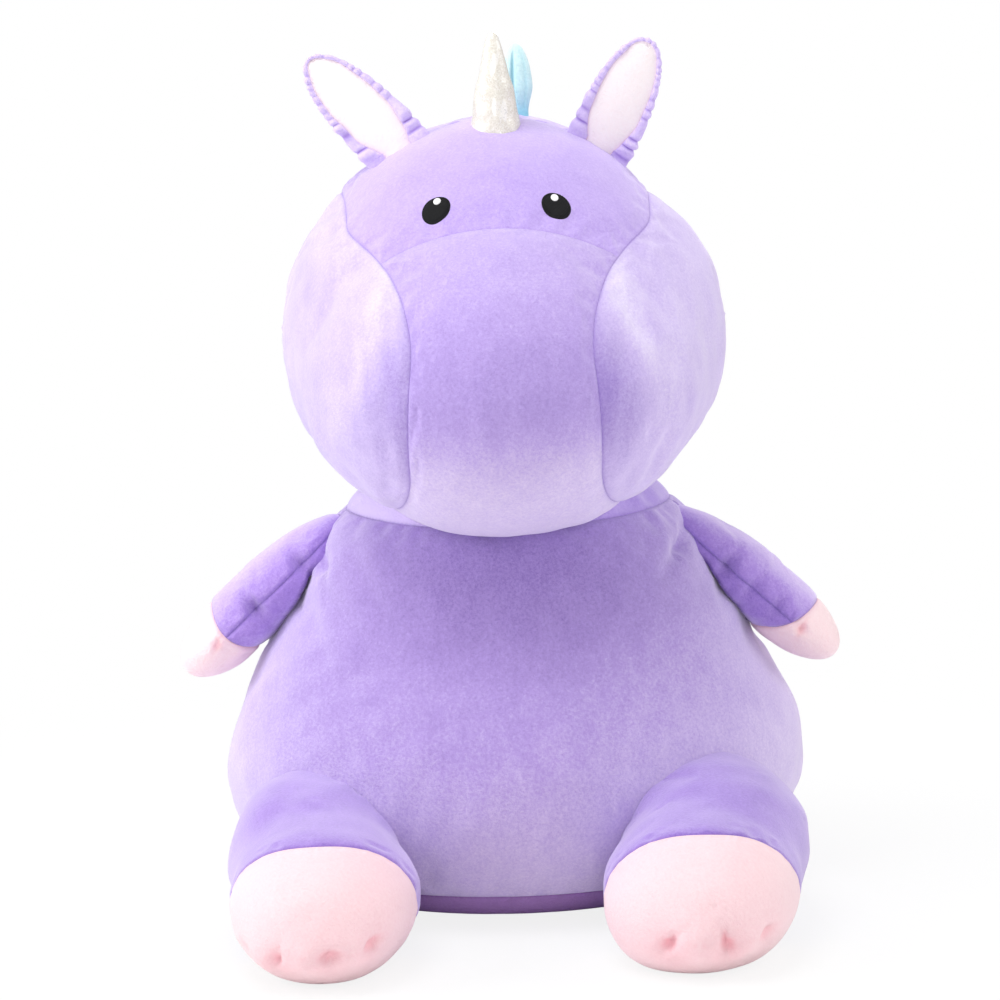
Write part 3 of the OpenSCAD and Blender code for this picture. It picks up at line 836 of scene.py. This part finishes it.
def cheek_tone(beside, aside):
    """Painted shade next to the seam where the muzzle stands out, with a pale streak of brushed nap over that
    spot, and painted shade where the cheek turns away, set for the right cheek, which faces the stronger side
    light."""
    def tone(t, w):
        a = cheek_turn(w)
        streak = bell(a - 22 + 120 * (1 - t), 9) * ease((t - 0.66) / 0.2)
        spot = np.exp(-((1 - t) / 0.14) ** 2 - ((a + 12) / 18) ** 2)
        return 0.8 * streak - beside * spot - aside * ease((0.75 - t) / 0.25)
    return tone


for side, mirror, beside, aside in (("left", False, 1.3, 0.0), ("right", True, 0.9, 0.5)):
    head_piece(f"{side}_cheek_panel", Cut(HEAD, cheek_way, "cap", mirror), 75, 260, CHEEK, 71 + mirror,
               lump=1.4, tone=cheek_tone(beside, aside))
    head_piece(f"{side}_head_back_panel", Cut(HEAD, head_back_way, mirror=mirror), 150, 60, LILAC,
               81 + mirror, lump=1.3, pucker=0.9)


# Eyes: satin stitch patches on the forehead

def forehead_at(d):
    """Points of the finished forehead along unit vectors, between its grid's points."""
    a = np.degrees(np.arctan2(d[..., 2], -d[..., 1]))
    b = np.degrees(np.arcsin(d[..., 0]))
    u = b / side_seam(a)
    t = (a - brow_line(u)) / (CROWN - brow_line(u))
    rows, cols = forehead.points.shape[:2]
    x = np.interp(t, between_seams(rows - 1), np.arange(rows))
    y = np.interp((u + 1) / 2, between_seams(cols - 1), np.arange(cols))
    i, j = np.minimum(x.astype(int), rows - 2), np.minimum(y.astype(int), cols - 2)
    f, g = (x - i)[..., None], (y - j)[..., None]
    p = forehead.points
    return (1 - f) * ((1 - g) * p[i, j] + g * p[i, j + 1]) + f * ((1 - g) * p[i + 1, j] + g * p[i + 1, j + 1])


def thread_patch(name, a, b, long, wide, lean, height, ring, lift, finish):
    """Oval patch on the forehead: a dome of threads with a raised satin edge of width ring.
    Height over the cloth: h (1 - q^8)^0.5, less a groove where the edge meets the middle."""
    side = np.sign(b)
    q = np.concatenate([np.linspace(0, 0.9, 16), 1 - 0.1 * (1 - np.linspace(0, 1, 9)[1:]) ** 2])[:, None]
    g = around(56)
    x, y = q * wide / 2 * np.sin(g), q * long / 2 * np.cos(g)
    s, c = arc(side * lean)
    mid = about_x(a, b)
    (sb, cb), (sa, ca) = arc(b), arc(a)
    right, up = np.array([cb, sb * ca, -sb * sa]), np.array([0, sa, ca])
    r = HEAD.reach(mid)
    d = unit(mid + ((x * c - y * s) / r)[..., None] * right + ((x * s + y * c) / r)[..., None] * up)
    groove = bell((1 - q) * wide / 2 - ring, 0.35) if ring else 0 * q
    high = height * dome(q**8) * (0.7 + 0.3 * (1 - q**2)) - 0.45 * groove + lift
    high = high + 0 * g
    high[-1] = -1.0
    points = forehead_at(d) + high[..., None] * unit(np.broadcast_to(mid, d.shape) * 0.4 + d * 0.6)
    # The fold value paints shade into the groove.
    put(name, "cap", (points, {"fold": 0.7 * groove + 0 * g}, d), finish, "head")


for side, b, inward in (("left", 17.7, -0.6), ("right", -18.7, 0.6)):
    thread_patch(f"{side}_eye", 43.3, b, 27.6, 23.8, 35, 1.5, 2.0, 0.0, BLACK)
    thread_patch(f"{side}_eye_glint", 46.0, b + inward, 7.2, 6.4, 0, 0.8, 0, 1.4, WHITE)


# Horn

def horn():
    """Stuffed cone turned about its axis: radius r (1 - 0.56 t - 0.27 t^2) with a round tip, a
    little lumpy, and its lower edge tucked in against the crown."""
    t = np.concatenate([np.linspace(0, 0.94, 80), 1 - 0.06 * (1 - np.linspace(0, 1, 14)[1:]) ** 2])[:, None]
    g = around(72)
    tall = 93.5
    radius = 23.5 * (1 - 0.56 * t - 0.27 * t**2)
    radius = radius * dome(np.clip((t - 0.95) / 0.05, 0, 1) ** 2) + 0 * g
    points = round_z(radius, g, tall * t)
    radius = radius * (1 + 0.03 * lumps(points, 40, 95) + 0.02 * lumps(points, 15, 96))
    points = round_z(radius, g, tall * t)[::-1]
    away = round_z(1, g, 0 * g + 0 * t)
    out = about_x(80, 0)
    foot = HEAD.at(out) - 14 * out
    spin = turn("x", 10)
    put("horn_cover", "cap", (points @ spin.T + foot, {}, away @ spin.T), GLITTER, "head",
        ("horn_filling",))


horn()


# Ears

EAR_L, EAR_W, EAR_T = 104.0, 60.0, 18.0


def ear_outline(n):
    """Outline of an ear from the foot of one side over the tip to the other, in even steps:
    x = -w/2 cos(s), z = l sin(s)^0.714. Gives the points, their outward normals and the run."""
    s = np.linspace(0, np.pi, 4000)
    x = np.concatenate([[-0.48 * EAR_W], -EAR_W / 2 * np.cos(s), [0.48 * EAR_W]])
    z = np.concatenate([[-16], EAR_L * np.abs(np.sin(s)) ** 0.714, [-16]])
    run = np.concatenate([[0], np.cumsum(np.hypot(np.diff(x), np.diff(z)))])
    even = np.linspace(0, run[-1], n)
    x, z = np.interp(even, run, x), np.interp(even, run, z)
    dx, dz = np.gradient(x), np.gradient(z)
    size = np.hypot(dx, dz)
    return x, z, -dz / size, dx / size, even


def ear(side, b, lean, tilt, seed):
    """Ear of two pieces. The back is rolled over the rim to the front, where it is gathered in
    puffs |sin| on to the edge of the lining; the lining is a shallow pad inside the rim."""
    sign = np.sign(b)
    slope = 6.4 + 0.85 * abs(b)
    out = about_x(84, b)
    at = HEAD.at(out) + (EAR_T / 4 - 0.2) * out
    spin = turn("y", sign * slope) @ turn("x", tilt)
    slant = sign * np.tan(np.radians(lean - slope))
    x, z, nx, nz, run = (v[None] for v in ear_outline(420))
    t = np.clip(z / EAR_L, 0, 1)
    rng = np.random.default_rng(seed)
    wander = sum(k * np.sin(run / p + rng.uniform(0, 6)) for k, p in ((1.3, 15), (0.8, 5.5), (1.2, 31)))
    step = 9 + 5 * np.exp(-t / 0.3)
    beat = np.pi * np.cumsum(np.gradient(run[0]) / step[0])[None] + wander
    puff = np.abs(np.sin(beat)) ** 1.1
    patchy = 0.5 + 0.5 * gathers(run, 34, seed)
    rim = 2.8 + 3.0 * (1 - t**2) + 11 * np.exp(-t / 0.17) + 1.0 * patchy
    plump = (0.75 + 1.3 * np.exp(-t / 0.35)) * np.clip(0.3 + 0.8 * patchy, 0.15, 1.5)
    back = EAR_T / 2 * (0.5 + 0.5 * ease(t / 0.35)) * dome(t**4)
    mid_z = np.minimum(z, 0.93 * EAR_L)

    def placed(px, py, pz):
        points = stack(px + np.maximum(pz, 0) * slant, py, pz) @ spin.T + at
        return HEAD.press(points, EAR_SINK)

    # Front of the rim from the lining to the edge, then behind to the middle
    f = np.linspace(0, np.pi, 19)[:, None]
    inward = rim * (1 + np.cos(f)) / 2 - 1.7 * plump * (puff - 0.6) * np.sin(f / 2) ** 2
    front_y = -1.5 - (1.0 + 2.0 * puff * plump) * np.sin(f)
    front = stack(x - inward * nx, front_y, z - inward * nz)
    c = np.linspace(0, np.pi / 2, 26)[1:, None]
    share = 1 - np.cos(c)
    bulge = 1.7 * plump * (puff - 0.6) * np.cos(c) ** 4
    behind = stack((x + bulge * nx) * (1 - share), -1.5 * np.cos(c) + back * np.sin(c),
                   (z + bulge * nz) * (1 - share) + mid_z * share)
    whole = np.concatenate([front, behind])
    # Painted shade in the valleys between the puffs, stronger near the foot of the ear, and along the
    # lining's edge.
    dark = np.clip(1 - puff / 0.6, 0, 1) ** 1.3
    dark = dark * np.clip(0.35 + 0.8 * np.exp(-t / 0.5), 0, 1) * np.clip(plump, 0, 1)
    fold = np.concatenate([dark * np.sin(f) ** 0.5, dark * np.cos(c) ** 4])
    fold[0] = 0.5
    points = placed(*np.moveaxis(whole, -1, 0))
    away = np.concatenate([0 * front + [0, -1, 0], 0 * behind + [0, 1, 0]])
    far = np.full(fold.shape, 99.0)
    shape = (points, {"fold": fold, "near": far, "run": far}, away @ spin.T)
    bend = ("head", at - 6 * spin[:, 2], at + 24 * spin[:, 2])
    put(f"{side}_ear_back", "sheet", shape, RIM, f"{side}_ear", (), bend)
    # Lining from under the rim to the middle
    u = np.linspace(0, 1, 30)[:, None] ** 1.3
    tuck = rim - 1.6
    inner_x, inner_z = x - tuck * nx, z - tuck * nz
    pad = -1.0 - 3.0 * (1 - (1 - u) ** 2) * dome(t**4)
    pad = pad - 0.5 * (puff - 0.5) * np.exp(-u / 0.12)
    points = placed(inner_x * (1 - u), pad, inner_z * (1 - u) + mid_z * u)
    # The near value paints shade on the lining where it tucks under the rim.
    near = np.clip(np.hypot(inner_x, inner_z - mid_z) * u - 1.4, 0, 99)
    shape = (points, {"near": near, "run": run + 0 * u}, 0 * points - spin[:, 1])
    put(f"{side}_ear_lining", "sheet", shape, LINING, f"{side}_ear", (), bend)


ear("left", 30.5, 27, 20, 103)
ear("right", -29, 42, 0, 111)


# Mane tufts and tail

def tuft(name, at, tilt, long, wide, thick, grooves, seed, parent="head", form=HEAD):
    """Leaf-shaped pad: half width w/2 (0.62 + 0.38 ease(t / 0.4)) sqrt(1 - t^2.8), an oval
    section, and lengthwise folds of depth up to half of the thickness."""
    t = np.concatenate([np.linspace(-0.14, 0, 7)[:-1], 1 - (1 - np.linspace(0, 1, 80)) ** 1.5])[:, None]
    t = np.minimum(t, 0.9995)[::-1]
    g = around(96)
    h = np.maximum(t, 0)
    hw = wide / 2 * (0.62 + 0.38 * ease(t / 0.4)) * dome(h**2.8)
    d = thick / 2 * (0.5 + 0.5 * ease(t / 0.35)) * dome(h**4)
    x, y = np.sin(g), -np.cos(g)
    crease = sum(bell(x - c, 0.12) * k for c, k in grooves)
    crease = crease * ease((t + 0.1) / 0.25) * ease((1.0 - t) / 0.3)
    points = stack(hw * x, d * y * (1 - 0.55 * crease), long * t)
    high = 0.5 * lumps(points, 28, seed) * ease((1 - t) / 0.1)
    points = points + high[..., None] * stack(0.4 * x, y, 0 * x)
    spin = turn("y", tilt[1]) @ turn("x", tilt[0])
    points = form.press(points @ spin.T + at, TUFT_SINK)
    # The fold value paints shade into the lengthwise creases.
    values = {"fold": 0.7 * crease + 0 * t, "root": 0.9 * np.exp(-h / 0.22) + 0 * g,
              "near": 99 + 0 * t * g, "run": 0 * t * g}
    shape = (points, values, stack(x, y, 0 * x * t) @ spin.T)
    bend = (parent, at - 5 * spin[:, 2], at + 0.3 * long * spin[:, 2])
    put(name, "cap", shape, AQUA, name, (), bend)


for name, a, b, gap, tilt, grooves, seed in (
        ("fore_tuft", 100, 6.5, -1.1, (-6, -1), ((-0.3, 1.0), (0.55, 0.3)), 121),
        ("middle_tuft", 128, 0, -0.9, (-80, 0), ((-0.3, 0.8), (0.4, 0.5)), 131),
        ("nape_tuft", 158, 0, -0.3, (-124, 0), ((-0.35, 0.8), (0.35, 0.6)), 141)):
    out = about_x(a, b)
    tuft(name, HEAD.at(out) + (3.5 + gap) * out, tilt, 60, 28, 14, grooves, seed)
out = about_z(180, -12)
tuft("tail", BODY.at(out) + 6.1 * out, (-150, 0), 130, 46, 24, ((-0.5, 0.7), (0.05, 0.9), (0.55, 0.6)), 151,
     "torso", BODY)


# Arms

def arm(side, mirror, droop, slant, shift, dents, seed):
    """Arm of two covers and a hand. The hand's seam lies HAND + slant sin(w) from the tip."""
    flip = np.array([1 - 2.0 * mirror, 1, 1])
    spin, root = turn("z", -4) @ turn("y", droop), ARM_AT + shift

    def spot(x, y, z):
        return (spin @ (x, y, z) + root) * flip

    def cuff(w):
        return HAND + slant * arc(w)[0]

    def dented(panel):
        """Dents across the lengthwise seam, and a narrow gap to the body under the arm's front. Both are
        marked for painted shade.
        """
        swell(panel, (spot(15, -5, 27), 28, 4.5))
        # Painted shade in the dents, carried by the fold value.
        dark = 0
        for x, deep, share in dents:
            pulled = pinch(panel, spot(x, -37, 1), 8.5, deep, 20, 5, droop * flip[0])
            dark = np.maximum(dark, share * pulled)
        x, y, z = np.moveaxis((panel.points * flip - root) @ spin, -1, 0)
        open_to = ease((20 - y) / 30) * ease((-2 - z) / 8) * ease((x + 52) / 24)
        sink = ARM_SINK - (ARM_SINK + ARM_GAP) * open_to - waist(panel.points) * open_to
        panel.points = BODY.press(panel.points, sink[..., None])
        panel.values.update(gap=0.95 * open_to, fold=dark)

    def plump(panel):
        panel.lift(3.5 * ease(panel.near / 26))
        dented(panel)

    bend = ("torso", spot(-80, 0, 0), spot(-6, 0, 0))
    for part, w0, w1, shape in (("upper", 0, 180, dented), ("under", 180, 360, plump)):
        def way(t, w):
            v = w1 + w * (w0 - w1)
            return along_x(v, ARM_ROOT - t * (ARM_ROOT - cuff(v)))

        # Painted light and shade: a painted highlight along the top of the arm, a deeper underside, and the
        # left arm deeper overall, away from the stronger side light.
        def tone(t, w):
            strip = (1.0 if mirror else 1.7) * bell(w - 0.56, 0.26) if w0 == 0 else -0.1
            return strip + (0.05 if mirror else -0.3) + 0 * t * w
        cut = Cut(ARM, way, "sheet", mirror, root, spin, ("high", "left", "right"))
        panel = tailor(cut, 80, 60, seed + w0, draw=0.4, depth=1.6, roll=4, lump=0.8, pucker=1.0, pitch=30,
                       growth=0.006, shape=shape, tone=tone)
        ray = panel.points - BODY.centre
        gap = length(ray) - BODY.reach(unit(ray)) - waist(panel.points)
        # Painted shade: the arm is darkened where it lies within a few millimetres of the body, in the gap
        # under its front.
        gap_shade = panel.values.pop("gap") * bell(np.maximum(gap - ARM_GAP, 0), 3)
        panel.values["fold"] = np.maximum(gap_shade, panel.values["fold"])
        sew(f"{side}_arm_{part}_panel", panel, THIGH, f"{side}_arm",
            (f"{side}_arm_filling",) if part == "upper" else (), bend)

    def hand_way(t, w):
        return along_x(360 * w, t * cuff(360 * w))
    hand = tailor(Cut(ARM, hand_way, "cap", mirror, root, spin), 44, 110, seed + 7, draw=0.4,
                  depth=1.4, roll=4, lump=0.7, pucker=0.7, tone=lambda t, w: 1.0 + 0 * t * w)
    # Painted shade: the pinch on the hand is tinted deeper pink.
    hand.values["blush"] = 0.4 * pinch(hand, spot(70, -34, 1), 4.5, 2.4, 9, 2, 30)
    sew(f"{side}_hand", hand, PINK, f"{side}_arm", ())


arm("left", False, 42, -9, (-3, 0, -2), ((-16, 8, 0.22), (14, 4, 0.06), (42, 5, 0.1)), 201)
arm("right", True, 42, -2, (0, 0, 0), ((24, 8, 0.22), (-32, 7, 0.14)), 231)


# Legs

SLACK = (((250, -230, 45), 40, 7), ((98, -285, 25), 34, 6),
         ((-248, -140, 95), 34, -6), ((-92, -285, 28), 38, -7))


def stuffed(panel):
    swell(panel, *SLACK)


def against_body(panel):
    stuffed(panel)
    panel.points = BODY.press(panel.points, THIGH_SINK)


def thigh_tone(t, w):
    """Painted shade: deeper where the thigh looks up, between its root and the foot."""
    return -0.45 * ease(t / 0.5) * arc(180 * w)[1] ** 4 + 0 * w


TOES = {"left": ((119, -333, 34, 1.0, 48), (165, -339, 35, 1.0, -28), (198, -320, 37, 0.6, 70)),
        "right": ((-194, -328, 34, 1.0, 28), (-153, -343, 34, 0.8, 75), (-117, -330, 40, 0.8, 65),
                  (-219, -300, 35, 0.3, 70))}


def leg(side, mirror, seed):
    """Leg of a thigh pressed against the body and a foot with toes pinched into it."""
    flip = np.array([1 - 2.0 * mirror, 1, 1])

    def thigh_way(t, w):
        return about_y(-360 * w, 180 - t * (180 - foot_seam(360 * w)))
    thigh = tailor(Cut(LEGS[side], thigh_way, "cap", mirror), 120, 170, seed, draw=2, depth=1.2,
                   lump=1.2, pucker=0.6, shape=against_body,
                   # Painted shade: the left thigh, on the side away from the stronger side light, is a little
                   # deeper.
                   tone=lambda t, w: thigh_tone(t, w) - 0.25 * (not mirror))
    sew(f"{side}_thigh", thigh, THIGH, f"{side}_leg", (f"{side}_leg_filling",),
        ("torso", flip * (170, -75, 80), flip * (165, -175, 70)))

    def foot_way(t, w):
        return about_y(360 * w, t * foot_seam(360 * w))
    foot = tailor(Cut(LEGS[side], foot_way, "cap", mirror), 110, 220, seed + 5, draw=2, depth=1.0, lump=0.5,
                  pucker=0.3, shape=stuffed)
    # Painted shade: deeper pink in the toe pinches and in a halo below them; the thin line across the front
    # of the foot is a seam.
    blush = 0
    places = sorted(toe[:3] for toe in TOES[side])
    swell(foot, *(((np.array(a) + b) / 2 + (0, -3, -3), 16, 6.0) for a, b in zip(places, places[1:])))
    for x, y, z, share, lean in TOES[side]:
        blush = np.maximum(blush, share * pinch(foot, (x, y, z), 8, 8.5 * share, 13, 4.0, lean))
        halo = length(foot.points - (x, y, z - 6))
        blush = np.maximum(blush, 0.4 * share * bell(halo, 22))
    aside, rise = np.abs(foot.points[..., 0]) - 155, foot.points[..., 2] - 35
    sewn = bell(rise, 1.4) * ease((44 - np.abs(aside)) / 8) * (foot.points[..., 1] < -290)
    foot.values["blush"] = np.maximum(0.45 * blush, 0.16 * sewn)
    sew(f"{side}_foot", foot, PINK, f"{side}_leg", ())


leg("left", False, 301)
leg("right", True, 331)


# Floor, light and camera

def floor():
    """Plain pale floor: it takes the shadow near the toy and runs out to white."""
    g, r = around(64), 9000 * np.linspace(0, 1, 40)[:, None] ** 1.5
    ground = mesh_piece("floor", round_z(r, g, -FLOOR + 0 * r + 0 * g), "cap")
    f = Finish("floor")
    spread = f.node("VectorMath", {0: f.place()}, "Value", operation="LENGTH")
    ray = f.node("LightPath", out="Is Camera Ray")
    share = f.node("MapRange", {
        "Value": spread, "From Min": 0.3, "From Max": 1.0, "To Min": 0.84, "To Max": 1.0},
        interpolation_type="SMOOTHSTEP")
    f.set(Base_Color=(0.9, 0.9, 0.9, 1), Roughness=1.0, Specular_IOR_Level=0.0)
    glow = f.node("Emission", {"Color": (1, 1, 1, 1), "Strength": 1.0})
    both = f.node("MixShader", {0: share * ray, 1: Wire(f, f.shader.outputs[0]), 2: glow})
    f.feed(f.tree.nodes["Material Output"].inputs["Surface"], both)
    ground.data.materials.append(f.material)


floor()


for name, place, aim, size, power in (
        ("top_light", (-0.6, -0.9, 2.7), (0, -0.1, 0.4), 1.6, 36),
        ("left_light", (-2.4, -0.6, 1.4), (0, 0, 0.35), 1.6, 34),
        ("right_light", (2.4, -0.4, 1.3), (0, 0, 0.35), 1.6, 18),
        ("back_light", (0.2, 2.4, 1.9), (0, 0, 0.4), 2.0, 30),
        ("front_light", (0.5, -3.2, 1.0), (0, 0, 0.35), 1.6, 14)):
    light = bpy.data.lights.new(name, "AREA")
    light.shape, light.size, light.energy = "DISK", size, power
    holder = bpy.data.objects.new(name, light)
    holder.location = place
    holder.rotation_euler = (Vector(aim) - Vector(place)).to_track_quat("-Z", "Y").to_euler()
    SCENE.collection.objects.link(holder)

SCENE.world = bpy.data.worlds.new("studio")
SCENE.world.use_nodes = True
sky = Nodes(SCENE.world.node_tree)
dim = sky.tree.nodes["Background"]
sky.feed(dim.inputs["Color"], (1, 1, 1, 1))
sky.feed(dim.inputs["Strength"], 0.42)
white = sky.node("Background", {"Color": (1, 1, 1, 1)})
seen = sky.node("LightPath", out="Is Camera Ray")
both = sky.node("MixShader", {0: seen, 1: Wire(sky, dim.outputs[0]), 2: white})
sky.feed(sky.tree.nodes["World Output"].inputs["Surface"], both)

camera = bpy.data.cameras.new("camera")
camera.lens, camera.sensor_width = 122.1, 36
camera.shift_x, camera.shift_y = -0.0066, -0.0122
camera.clip_end = 100
viewer = bpy.data.objects.new("camera", camera)
viewer.location = (0, -2.9708, 0.7775)
level = (Vector((0, 0, 0.36)) - viewer.location).to_track_quat("-Z", "Y").to_matrix().to_4x4()
viewer.rotation_euler = (level @ Matrix.Rotation(np.radians(-1.8), 4, "Z")).to_euler()
SCENE.collection.objects.link(viewer)
SCENE.camera = viewer
SCENE.view_settings.view_transform = "Standard"
